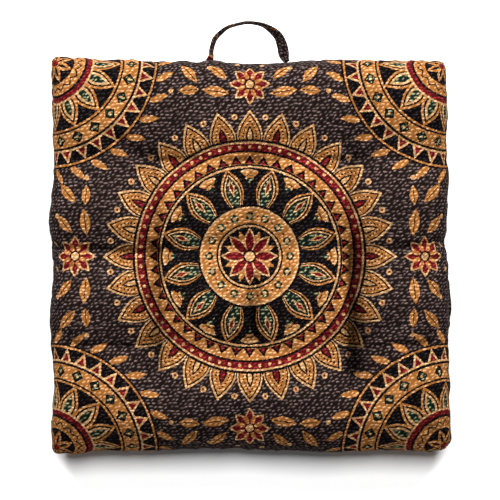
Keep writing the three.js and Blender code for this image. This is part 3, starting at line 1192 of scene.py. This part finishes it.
# Rings of the great rosette, painted from the first row to the last, with sizes in millimetres on the cloth.
# "turn" shifts a ring by a share of one shape, a "bulge" above 1 moves a petal's widest place out towards its
# tip, "dash" cuts it into bars of that pitch, and "lean" makes its tip lean aside.
GREAT_ROSETTE = (
    *dots(28, 229, (CREAM, 10), (RED, 4), turn=0.5),
    *pointed("petal", 28, (CREAM, 158, 240, 42), (INK, 158, 235, 38), (OCHRE, 160, 231, 34)),
    *pointed("petal", 28, (INK, 168, 224, 25), dash=5),
    *pointed("petal", 28, (OCHRE, 170, 220, 20), (INK, 178, 215, 13)),
    *pointed("petal", 14, (RED, 184, 210, 7)),
    *pointed("petal", 14, (CREAM, 184, 210, 7), turn=0.5),
    *discs((INK, 192), (CREAM, 188), (RED, 185)),
    *dots(68, 179.5, (CREAM, 5.5)),
    *discs((INK, 174), (OCHRE, 170.5)),
    *pointed("triangle", 44, (INK, 152, 166, 19), (RED, 152, 160, 9)),
    *discs((INK, 151.5), (CREAM, 148), (INK, 145)),
    *pointed("petal", 12, (OCHRE, 62, 146, 36), (INK, 62, 142, 31), turn=0.5, bulge=1.35),
    *pointed("petal", 12, (CREAM, 64, 138, 26), (INK, 66, 135, 22), turn=0.5, bulge=1.35),
    *pointed("petal", 12, (GREEN, 68, 132, 18), turn=0.5, bulge=1.35),
    *pointed("diamond", 12, (CREAM, 100, 130, 10), (RED, 105, 126, 6), turn=0.5),
    *pointed("petal", 12, (INK, 58, 146, 35), (CREAM, 60, 143, 30), (OCHRE, 62, 140, 26), bulge=15),
    *pointed("petal", 12, (INK, 70, 134, 18), bulge=15, dash=4.4),
    *pointed("petal", 12, (OCHRE, 72, 131, 14), (GREEN, 76, 129, 10.5), bulge=15),
    *discs((INK, 85), (CREAM, 81), (OCHRE, 78)),
    *dots(16, 66, (GREEN, 13.5), (CREAM, 6)),
    *dots(16, 66, (RED, 3.4), turn=0.5),
    *discs((INK, 54.5), (CREAM, 51.5), (INK, 48.5)),
    *pointed("petal", 8, (OCHRE, 4, 44, 13), turn=0.5, bulge=1.1),
    *pointed("petal", 8, (CREAM, 4, 47, 18), (RED, 4, 43, 13.5), bulge=1.1),
    *discs((INK, 11), (CREAM, 8)),
)

# Rings of the quarter rosettes round the corners
CORNER_ROSETTE = (
    *pointed("petal", 32, (OCHRE, 176, 206, 14), lean=0.5),
    *discs((INK, 180), (OCHRE, 177), (INK, 174)),
    *pointed("triangle", 36, (CREAM, 150, 174, 25), (RED, 150, 167, 17)),
    *discs((CREAM, 154), (INK, 151), (OCHRE, 147)),
    *pointed("diamond", 26, (INK, 125, 146, 21), (GREEN, 128, 143, 14)),
    *dots(26, 135.5, (CREAM, 4.5)),
    *discs((INK, 124), (OCHRE, 121), (INK, 118)),
    *pointed("petal", 16, (OCHRE, 52, 119, 33), (INK, 56, 113, 26)),
    *pointed("petal", 16, (CREAM, 60, 109, 20), (GREEN, 66, 103, 12)),
    *discs((CREAM, 75), (RED, 72), (INK, 64), (OCHRE, 60)),
    band("zigzag", INK, count=18, middle=51, rise=7, width=2.8),
    *discs((INK, 42)),
    *pointed("petal", 8, (OCHRE, 3, 40, 17), (INK, 8, 33, 6), turn=0.5, bulge=1.1),
    *discs((RED, 10)),
)

# A small flower
SMALL_FLOWER = (
    *pointed("petal", 8, (CREAM, 5, 34, 15), (RED, 5, 30, 11), bulge=1.2),
    *pointed("petal", 8, (OCHRE, 5, 24, 7), turn=0.5, bulge=1.2),
    *discs((INK, 9), (CREAM, 6.5)),
)

# Where the small flowers, the dots and the leaves stand in the quarter of the cloth that is mirrored into the
# others. A leaf's turn is in degrees, and its rib runs between two shares of its length.
FLOWERS = ((0, 282), (286, 0))
DOTS = ((66, 312), (128, 270), (20, 326), (318, 66), (266, 128), (330, 20))
DOT_RADIUS = 4 * MM
RIB_HALF_WIDTH = 0.8 * MM
RIB_START = 0.12
RIB_END = 0.8
LEAVES = (
    {"x": 34, "y": 266, "turn": 8, "length": 44, "width": 17},
    {"x": 38, "y": 290, "turn": 44, "length": 40, "width": 15},
    {"x": 82, "y": 272, "turn": -4, "length": 34, "width": 15},
    {"x": 86, "y": 284, "turn": 52, "length": 42, "width": 16},
    {"x": 266, "y": 34, "turn": 84, "length": 44, "width": 17},
    {"x": 290, "y": 38, "turn": 48, "length": 40, "width": 15},
    {"x": 268, "y": 84, "turn": 94, "length": 32, "width": 14},
    {"x": 284, "y": 88, "turn": 46, "length": 42, "width": 16},
)


def painted(maths, dye, number, mask):
    """The dye with another one over it where the mask is 1"""
    return maths.mixed(mask, dye, number)


def ring_mask(maths, ring, distance, turn):
    """1 inside a ring's shapes, worked out from the distance from the middle and the share of a turn"""
    shape = ring["shape"]
    if shape == "disc":
        return distance < ring["outer"] * MM
    half_width = ring["width"] * MM / 2
    share = turn * ring["count"] + (ring.get("turn", 0) + 0.5)
    if shape in ("petal", "triangle", "diamond"):
        place = maths.ramp(distance, ring["inner"] * MM, ring["outer"] * MM, smooth=False)
    if "lean" in ring:
        share = share + place * ring["lean"]
    share = abs(share.rest() - 0.5)
    aside = share * distance * (2 * math.pi / ring["count"])
    if shape == "dot":
        out = distance - ring["middle"] * MM
        return out * out + aside * aside < half_width**2
    if shape == "zigzag":
        line = (share * 4 - 1) * (ring["rise"] * MM / 2)
        return abs(distance - ring["middle"] * MM - line) < half_width
    if shape == "petal":
        bent = maths.step("POWER", place, ring["bulge"]) if "bulge" in ring else place
        reach = (bent * math.pi).sine() * half_width
    elif shape == "triangle":
        reach = (1 - place) * half_width * (distance > ring["inner"] * MM)
    else:
        reach = (1 - abs(place * 2 - 1)) * half_width
    inside = aside < reach
    if "dash" in ring:
        inside = inside * ((distance / (ring["dash"] * MM)).rest() < 0.5)
    return inside


def rosette(maths, dye, u, v, rings):
    """A rosette's rings, painted from the ground up round the place where u and v are 0"""
    distance = maths.step("POWER", u * u + v * v, 0.5)
    turn = maths.step("ARCTAN2", v, u) * (1 / (2 * math.pi))
    for ring in rings:
        dye = painted(maths, dye, ring["dye"], ring_mask(maths, ring, distance, turn))
    return dye


def leaf(maths, dye, u, v, row):
    """An almond-shaped leaf with a dark rib"""
    turn = math.radians(row["turn"])
    apart_u = u - row["x"] * MM
    apart_v = v - row["y"] * MM
    along = apart_u * math.cos(turn) + apart_v * math.sin(turn)
    aside = abs(apart_v * math.cos(turn) - apart_u * math.sin(turn))
    place = maths.ramp(along, 0, row["length"] * MM, smooth=False)
    reach = (place * math.pi).sine() * (row["width"] * MM / 2)
    dye = painted(maths, dye, OCHRE, aside < reach)
    rib = (aside < RIB_HALF_WIDTH) * (place > RIB_START) * (place < RIB_END)
    return painted(maths, dye, INK, rib)


def printed_dye(maths, u, v):
    """The whole print: which dye lies at a place of the flat cloth"""
    fold_u = abs(u)
    fold_v = abs(v)
    dye = CHARCOAL
    for row in LEAVES:
        dye = leaf(maths, dye, fold_u, fold_v, row)
    for x, y in DOTS:
        apart_u = fold_u - x * MM
        apart_v = fold_v - y * MM
        dye = painted(maths, dye, CREAM, apart_u * apart_u + apart_v * apart_v < DOT_RADIUS**2)
    for x, y in FLOWERS:
        dye = rosette(maths, dye, fold_u - x * MM, fold_v - y * MM, SMALL_FLOWER)
    dye = rosette(maths, dye, fold_u - HALF_WIDTH, fold_v - HALF_LENGTH, CORNER_ROSETTE)
    return rosette(maths, dye, u, v, GREAT_ROSETTE)


# How the flecks differ: how much of the weave's unevenness goes into their slope, and what their length is
# divided by at the least, and by how much more of the unevenness
SLOPE_CHANGE = 1.5
LEAST_DIVISOR = 0.8
DIVISOR_CHANGE = 2

# Between which heights the colours change over a fleck, whose height is 1 in its middle, 0 at its rim and
# less outside: the fleck itself, the faint light round it, the dark hollow beside it, and its relief
FLECK_RISE = (-1.5, 0.8)
GLOW_RISE = (-7, 0)
HOLLOW_RISE = (-5, -0.6)
RELIEF_RISE = (-1.2, 1.0)

# How much of the fleck's colour shows on the faintest fleck, how much more on the strongest, and in the glow
FLECK_LEAST = 0.2
FLECK_MORE = 0.75
GLOW_SHARE = 0.12

# How bright the cloth is in a hollow and how much brighter on a fleck, how bright its fibres are at the least
# and how much brighter at the most, and how much they add to the relief
HOLLOW_LIGHT = 0.65
HOLLOW_CHANGE = 0.4
FIBRE_LIGHT = 0.75
FIBRE_CHANGE = 0.5
FIBRE_RELIEF = 0.15

# The fibres' fineness, and how finely and how far the print's edges run to and fro
FIBRE_SCALE = 900
RAGGED_SCALE = 330
RAGGED_REACH = 2.6 * MM

# The surfaces
CLOTH_ROUGHNESS = 0.88
CLOTH_SPECULAR = 0.02
PAPER_ROUGHNESS = 0.9
PAPER_SPECULAR = 0.2


def weave(maths, u, v, sizes):
    """The raised yarn flecks: how high each point stands on one, and each fleck's own random number"""
    row = v / sizes.pitch_along
    row_number = row.whole()
    column = u / sizes.pitch_across + row_number * sizes.row_shift
    place = maths.node("ShaderNodeCombineXYZ")
    maths.feed(place.inputs[0], column.whole())
    maths.feed(place.inputs[1], row_number)
    random = maths.node("ShaderNodeTexWhiteNoise", noise_dimensions="2D")
    maths.feed(random.inputs["Vector"], place.outputs[0])
    chances = maths.node("ShaderNodeSeparateColor")
    maths.feed(chances.inputs[0], random.outputs["Color"])
    first, second, third = (Measure(maths, socket) for socket in chances.outputs[:3])
    change = sizes.unevenness
    from_u = (column.rest() - 0.5 + (first - 0.5) * change) * sizes.pitch_across
    from_v = (row.rest() - 0.5 + (second - 0.5) * change) * sizes.pitch_along
    slope = (third - 0.5) * change * SLOPE_CHANGE + math.tan(sizes.fleck_slant)
    divisor = third * change * DIVISOR_CHANGE + LEAST_DIVISOR
    along = from_u / (sizes.fleck_length / 2) * divisor
    across = (from_v - from_u * slope) / (sizes.fleck_width / 2)
    return 1 - (along * along + across * across), first


def ragged(maths, place):
    """The place on the cloth, moved a little to and fro, so that the print's edges are ragged"""
    made = maths.node("ShaderNodeVectorMath", operation="MULTIPLY_ADD")
    maths.feed(made.inputs[0], maths.noise(place, RAGGED_SCALE, 1).outputs["Color"])
    maths.feed(made.inputs[1], (RAGGED_REACH, RAGGED_REACH, 0))
    maths.feed(made.inputs[2], place)
    return made.outputs[0]


def cloth_colour(maths, dye, high, chance, fibre, colours):
    """The dyes' grounds with their flecks, darker in the weave's hollows, and with shade painted down in the
    creases
    """
    grounds = dye_ramp(maths, dye, colours, "ground")
    flecks = dye_ramp(maths, dye, colours, "fleck")
    fleck = maths.ramp(high, *FLECK_RISE) * (chance * FLECK_MORE + FLECK_LEAST)
    glow = maths.ramp(high, *GLOW_RISE) * GLOW_SHARE
    colour = maths.mixed_colour(fleck + glow, grounds, flecks)
    hollow = maths.ramp(high, *HOLLOW_RISE, smooth=False) * HOLLOW_CHANGE + HOLLOW_LIGHT
    # Painted shade: the colour is darkened by how deep in a crease the point lies
    fold = Measure(maths, maths.attribute("fold").outputs["Fac"])
    light = fibre * hollow * (1 - fold * PAINTED_FOLD_SHADE)
    return maths.mixed_colour(1.0, colour, grey(maths, light), "MULTIPLY")


def finish_cloth(maths, colour, relief, height):
    """The matt surface of the cloth, with its relief"""
    bump = maths.node("ShaderNodeBump")
    maths.feed(bump.inputs["Strength"], 1)
    maths.feed(bump.inputs["Distance"], height)
    maths.feed(bump.inputs["Height"], relief)
    shader = maths.node("ShaderNodeBsdfPrincipled")
    maths.feed(shader.inputs["Base Color"], colour)
    maths.feed(shader.inputs["Normal"], bump.outputs[0])
    maths.feed(shader.inputs["Roughness"], CLOTH_ROUGHNESS)
    maths.feed(shader.inputs["Specular IOR Level"], CLOTH_SPECULAR)
    output = maths.node("ShaderNodeOutputMaterial")
    maths.feed(output.inputs["Surface"], shader.outputs[0])


def cloth_material(name, dye_maker, colours, sizes):
    """A coarse printed cloth: the dyes, the flecks of raised yarn, and their relief"""
    material = bpy.data.materials.new(name)
    material.use_nodes = True
    material.node_tree.nodes.clear()
    maths = Maths(material.node_tree)
    place = maths.attribute("flat_cloth").outputs["Vector"]
    dye = dye_maker(maths, *maths.split(ragged(maths, place)))
    high, chance = weave(maths, *maths.split(place), sizes)
    fibre = Measure(maths, maths.noise(place, FIBRE_SCALE, 2).outputs[0]) * FIBRE_CHANGE + FIBRE_LIGHT
    colour = cloth_colour(maths, dye, high, chance, fibre, colours)
    relief = maths.ramp(high, *RELIEF_RISE) + fibre * FIBRE_RELIEF
    finish_cloth(maths, colour, relief, sizes.relief)
    return material


def grey(maths, value):
    """A number as a grey colour"""
    made = maths.node("ShaderNodeCombineColor")
    for socket in made.inputs[:3]:
        maths.feed(socket, value)
    return made.outputs[0]


def dye_ramp(maths, dye, colours, part):
    """The colour of each dye's ground or flecks, looked up by the dye's number"""
    made = maths.node("ShaderNodeValToRGB")
    made.color_ramp.interpolation = "CONSTANT"
    elements = made.color_ramp.elements
    while len(elements) < len(DYES):
        elements.new(1)
    for number, name in enumerate(DYES):
        elements[number].position = number / len(DYES)
        elements[number].color = (*getattr(colours, f"{name}_{part}"), 1)
    maths.feed(made.inputs[0], (dye + 0.5) / len(DYES))
    return made.outputs[0]


# The stripes across the strap: their place along it, how far they slant, and how wide they are
STRAP_STRIPES = (
    {"place": 2.5, "slant": 0, "width": 13, "dye": RED},
    {"place": 11, "slant": 0, "width": 4, "dye": OCHRE},
    {"place": 29, "slant": 0.5, "width": 2.5, "dye": CREAM},
    {"place": 60, "slant": 0.5, "width": 2.5, "dye": CREAM},
    {"place": 86, "slant": 1.6, "width": 4.5, "dye": OCHRE},
)


def strap_dye(maths, u, v):
    """The strap's cloth: charcoal with a few stripes"""
    dye = CHARCOAL
    for stripe in STRAP_STRIPES:
        offset = v - u * stripe["slant"] - stripe["place"] * MM
        dye = painted(maths, dye, stripe["dye"], abs(offset) < stripe["width"] * MM / 2)
    return dye


def paper_material(colour):
    """The floor's plain pale paper"""
    material = bpy.data.materials.new("paper")
    material.use_nodes = True
    shader = material.node_tree.nodes["Principled BSDF"]
    shader.inputs["Base Color"].default_value = (*colour, 1)
    shader.inputs["Roughness"].default_value = PAPER_ROUGHNESS
    shader.inputs["Specular IOR Level"].default_value = PAPER_SPECULAR
    return material


def aim(thing, target):
    """Turns a light so that it points at a place"""
    direction = np.array(target) - np.array(thing.location)
    thing.rotation_euler = Vector(direction).to_track_quat("-Z", "Y").to_euler()


def area_light(name, place, size, power):
    """A soft square light that points at the cushion"""
    light = bpy.data.lights.new(name, "AREA")
    light.size = size
    light.energy = power
    thing = bpy.data.objects.new(name, light)
    thing.location = place
    bpy.context.scene.collection.objects.link(thing)
    aim(thing, (0, 0, 0))


# The soft lights: each one's turn from the far side and its height in degrees, its distance and size in
# metres, and its share of the power
SOFTBOXES = (
    {"turn": -26, "height": 36, "away": 4.6, "size": 1.7, "share": 0.354},
    {"turn": 26, "height": 36, "away": 4.6, "size": 1.7, "share": 0.344},
    {"turn": 0, "height": 73, "away": 4.6, "size": 2.0, "share": 0.317},
)

# The floor: how far it reaches each way in metres, and how far it lies below the cushion
FLOOR_REACH = 4
FLOOR_DROP = 0.2 * MM

# The place straight above which the camera hangs, and how far it sees in metres
PICTURE_MIDDLE = (-0.8 * MM, -19.8 * MM)
CAMERA_REACH = 50


def make_floor(colour):
    """The pale floor"""
    corners = [(-1, -1, 0), (1, -1, 0), (1, 1, 0), (-1, 1, 0)]
    mesh = mesh_from("floor", FLOOR_REACH * np.array(corners, float), np.array([(0, 1, 2, 3)]))
    floor = linked("floor", mesh)
    floor.location.z = -FLOOR_DROP
    floor.data.materials.append(paper_material(colour))
    return floor


def light_studio(settings):
    """The soft lights past the far edge, and the even light from all sides"""
    for row in SOFTBOXES:
        turn = math.radians(row["turn"])
        height = math.radians(row["height"])
        level = math.cos(height)
        place = row["away"] * np.array([level * math.sin(turn), level * math.cos(turn), math.sin(height)])
        area_light("softbox", place, row["size"], settings.key_power * row["share"])
    world = bpy.data.worlds.new("studio")
    world.use_nodes = True
    background = world.node_tree.nodes["Background"]
    background.inputs["Color"].default_value = (1, 1, 1, 1)
    background.inputs["Strength"].default_value = settings.sky_strength
    bpy.context.scene.world = world


def hang_camera(settings):
    """The camera straight above the cushion"""
    camera = bpy.data.cameras.new("camera")
    camera.lens = settings.lens
    camera.clip_end = CAMERA_REACH
    distance = settings.view_width / camera.sensor_width * settings.lens
    thing = bpy.data.objects.new("camera", camera)
    thing.location = (*PICTURE_MIDDLE, SEAM_HEIGHT + distance)
    bpy.context.scene.collection.objects.link(thing)
    bpy.context.scene.camera = thing


class CUSHION_OT_stage(bpy.types.Operator):
    """Lays out the pale floor, the soft lights and the camera above the cushion"""

    bl_idname = "cushion.stage"
    bl_label = "Stage"

    def execute(self, context):
        settings = context.scene.cushion_studio
        context.scene.view_settings.view_transform = "Standard"
        floor = make_floor(settings.paper)
        light_studio(settings)
        hang_camera(settings)
        return {"FINISHED"}


class CUSHION_OT_cover(bpy.types.Operator):
    """Makes the filled, tufted cushion in its printed cover"""

    bl_idname = "cushion.cover"
    bl_label = "Cushion"

    def execute(self, context):
        scene = context.scene
        cover = make_cover(scene.cushion_sizes)
        material = cloth_material("printed_cloth", printed_dye, scene.cushion_dyes, scene.cushion_weave)
        cover.data.materials.append(material)
        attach(cover, "root")
        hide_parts("cushion")
        return {"FINISHED"}


class CUSHION_OT_strap(bpy.types.Operator):
    """Makes the carrying strap"""

    bl_idname = "cushion.strap"
    bl_label = "Carrying strap"

    def execute(self, context):
        scene = context.scene
        strap = make_strap(scene.cushion_strap)
        material = cloth_material("strap_cloth", strap_dye, scene.cushion_dyes, scene.cushion_weave)
        strap.data.materials.append(material)
        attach(strap, "root")
        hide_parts("handle_strap")
        return {"FINISHED"}


class CUSHION_PT_panel(bpy.types.Panel):
    """Lists the cushion's pieces and settings in the sidebar"""

    bl_label = "Meditation cushion"
    bl_idname = "CUSHION_PT_panel"
    bl_space_type = "VIEW_3D"
    bl_region_type = "UI"
    bl_category = "Cushion"

    def draw(self, context):
        layout = self.layout
        for operator in OPERATORS:
            layout.operator(operator.bl_idname)
        for name in SETTINGS:
            group = getattr(context.scene, name)
            box = layout.box()
            for setting in group.bl_rna.properties.keys():
                if setting not in ("rna_type", "name"):
                    box.prop(group, setting)


OPERATORS = (CUSHION_OT_stage, CUSHION_OT_cover, CUSHION_OT_strap)
SETTINGS = {
    "cushion_sizes": CushionSizes,
    "cushion_dyes": DyeColours,
    "cushion_weave": WeaveSizes,
    "cushion_strap": StrapSizes,
    "cushion_studio": StudioSettings,
}


def register():
    """Makes the settings, operators and panel known to Blender"""
    for name, group in SETTINGS.items():
        bpy.utils.register_class(group)
        setattr(bpy.types.Scene, name, bpy.props.PointerProperty(type=group))
    for operator in OPERATORS:
        bpy.utils.register_class(operator)
    bpy.utils.register_class(CUSHION_PT_panel)


def unregister():
    """Takes them away again"""
    bpy.utils.unregister_class(CUSHION_PT_panel)
    for operator in reversed(OPERATORS):
        bpy.utils.unregister_class(operator)
    for name, group in reversed(list(SETTINGS.items())):
        delattr(bpy.types.Scene, name)
        bpy.utils.unregister_class(group)


def main():
    """Makes every piece in order"""
    register()
    bpy.ops.cushion.stage()
    bpy.ops.cushion.cover()
    bpy.ops.cushion.strap()


if __name__ == "__main__":
    main()
